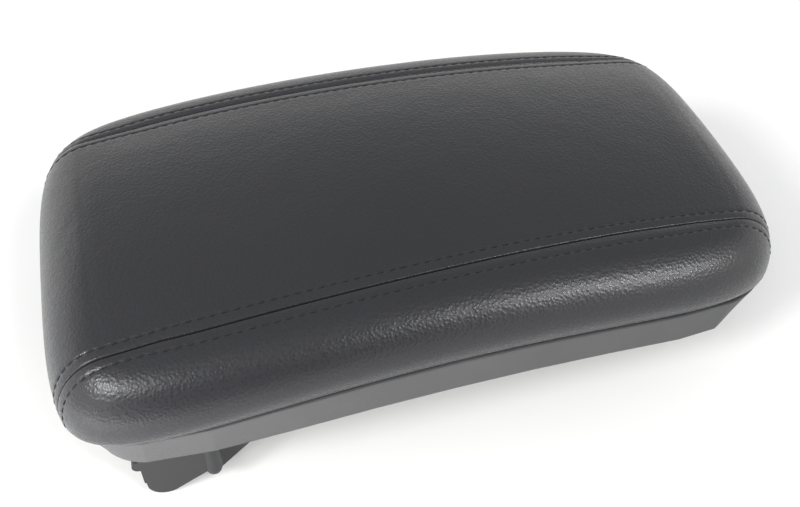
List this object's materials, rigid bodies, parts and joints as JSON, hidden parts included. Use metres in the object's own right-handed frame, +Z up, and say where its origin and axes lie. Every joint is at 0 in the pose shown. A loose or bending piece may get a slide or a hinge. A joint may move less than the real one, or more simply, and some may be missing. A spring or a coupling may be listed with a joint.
{
  "type": "center console armrest lid",
  "caption": "Padded center console armrest lid: leather-wrapped foam pad on an arched moulded base, with a hinge bracket at the rear and a finger latch at the front.",
  "frame": {"origin": "on the ground under the middle of the lid, the lid standing level on its hinge bracket and latch hook", "axes": "+X to the front of the lid (the latch end), +Y to its far side, +Z up"},
  "size_m": [0.31, 0.178, 0.0963],
  "materials": {
    "leather": "fine pebble grain, satin",
    "foam": "moulded polyurethane foam, matt",
    "carrier": "moulded black plastic",
    "base": "fine textured grey plastic",
    "bracket": "moulded grey plastic",
    "bush": "natural acetal",
    "steel": "zinc plated",
    "rubber": "pale grey rubber"
  },
  "bodies": {
    "bracket": {"hinge_bracket": "bracket", "hinge_pin": "steel"},
    "lid": {"cover_centre_panel": "leather", "cover_side_panel_near": "leather", "cover_side_panel_far": "leather", "foam_pad": "foam", "pad_carrier": "carrier", "lid_base": "base", "carrier_screw_1": "steel", "carrier_screw_2": "steel", "carrier_screw_3": "steel", "carrier_screw_4": "steel", "carrier_screw_5": "steel", "carrier_screw_6": "steel", "hinge_arm_near": "bracket", "hinge_arm_far": "bracket", "arm_screw_near_1": "steel", "arm_screw_near_2": "steel", "arm_screw_far_1": "steel", "arm_screw_far_2": "steel", "pivot_bush_near": "bush", "pivot_bush_far": "bush", "latch_housing": "bracket", "latch_screw_near": "steel", "latch_screw_far": "steel", "latch_pin": "steel", "latch_spring": "steel", "buffer_rear_near": "rubber", "buffer_rear_far": "rubber", "buffer_front_near": "rubber", "buffer_front_far": "rubber"},
    "latch": {"latch_lever": "bracket"}
  },
  "joints": [
    {"name": "lid_hinge", "type": "hinge", "parent": "bracket", "child": "lid", "pos_m": [-0.1195, 0, 0.0094], "axis": [0, -1, 0], "range_deg": [0, 80]},
    {"name": "latch_pull", "type": "hinge", "parent": "lid", "child": "latch", "pos_m": [0.107, 0, 0.02718], "axis": [0, -1, 0], "range_deg": [0, 12], "stiffness_Nm_per_rad": 0.05, "springref_deg": -20.05, "deforming": ["latch_spring"]}
  ]
}
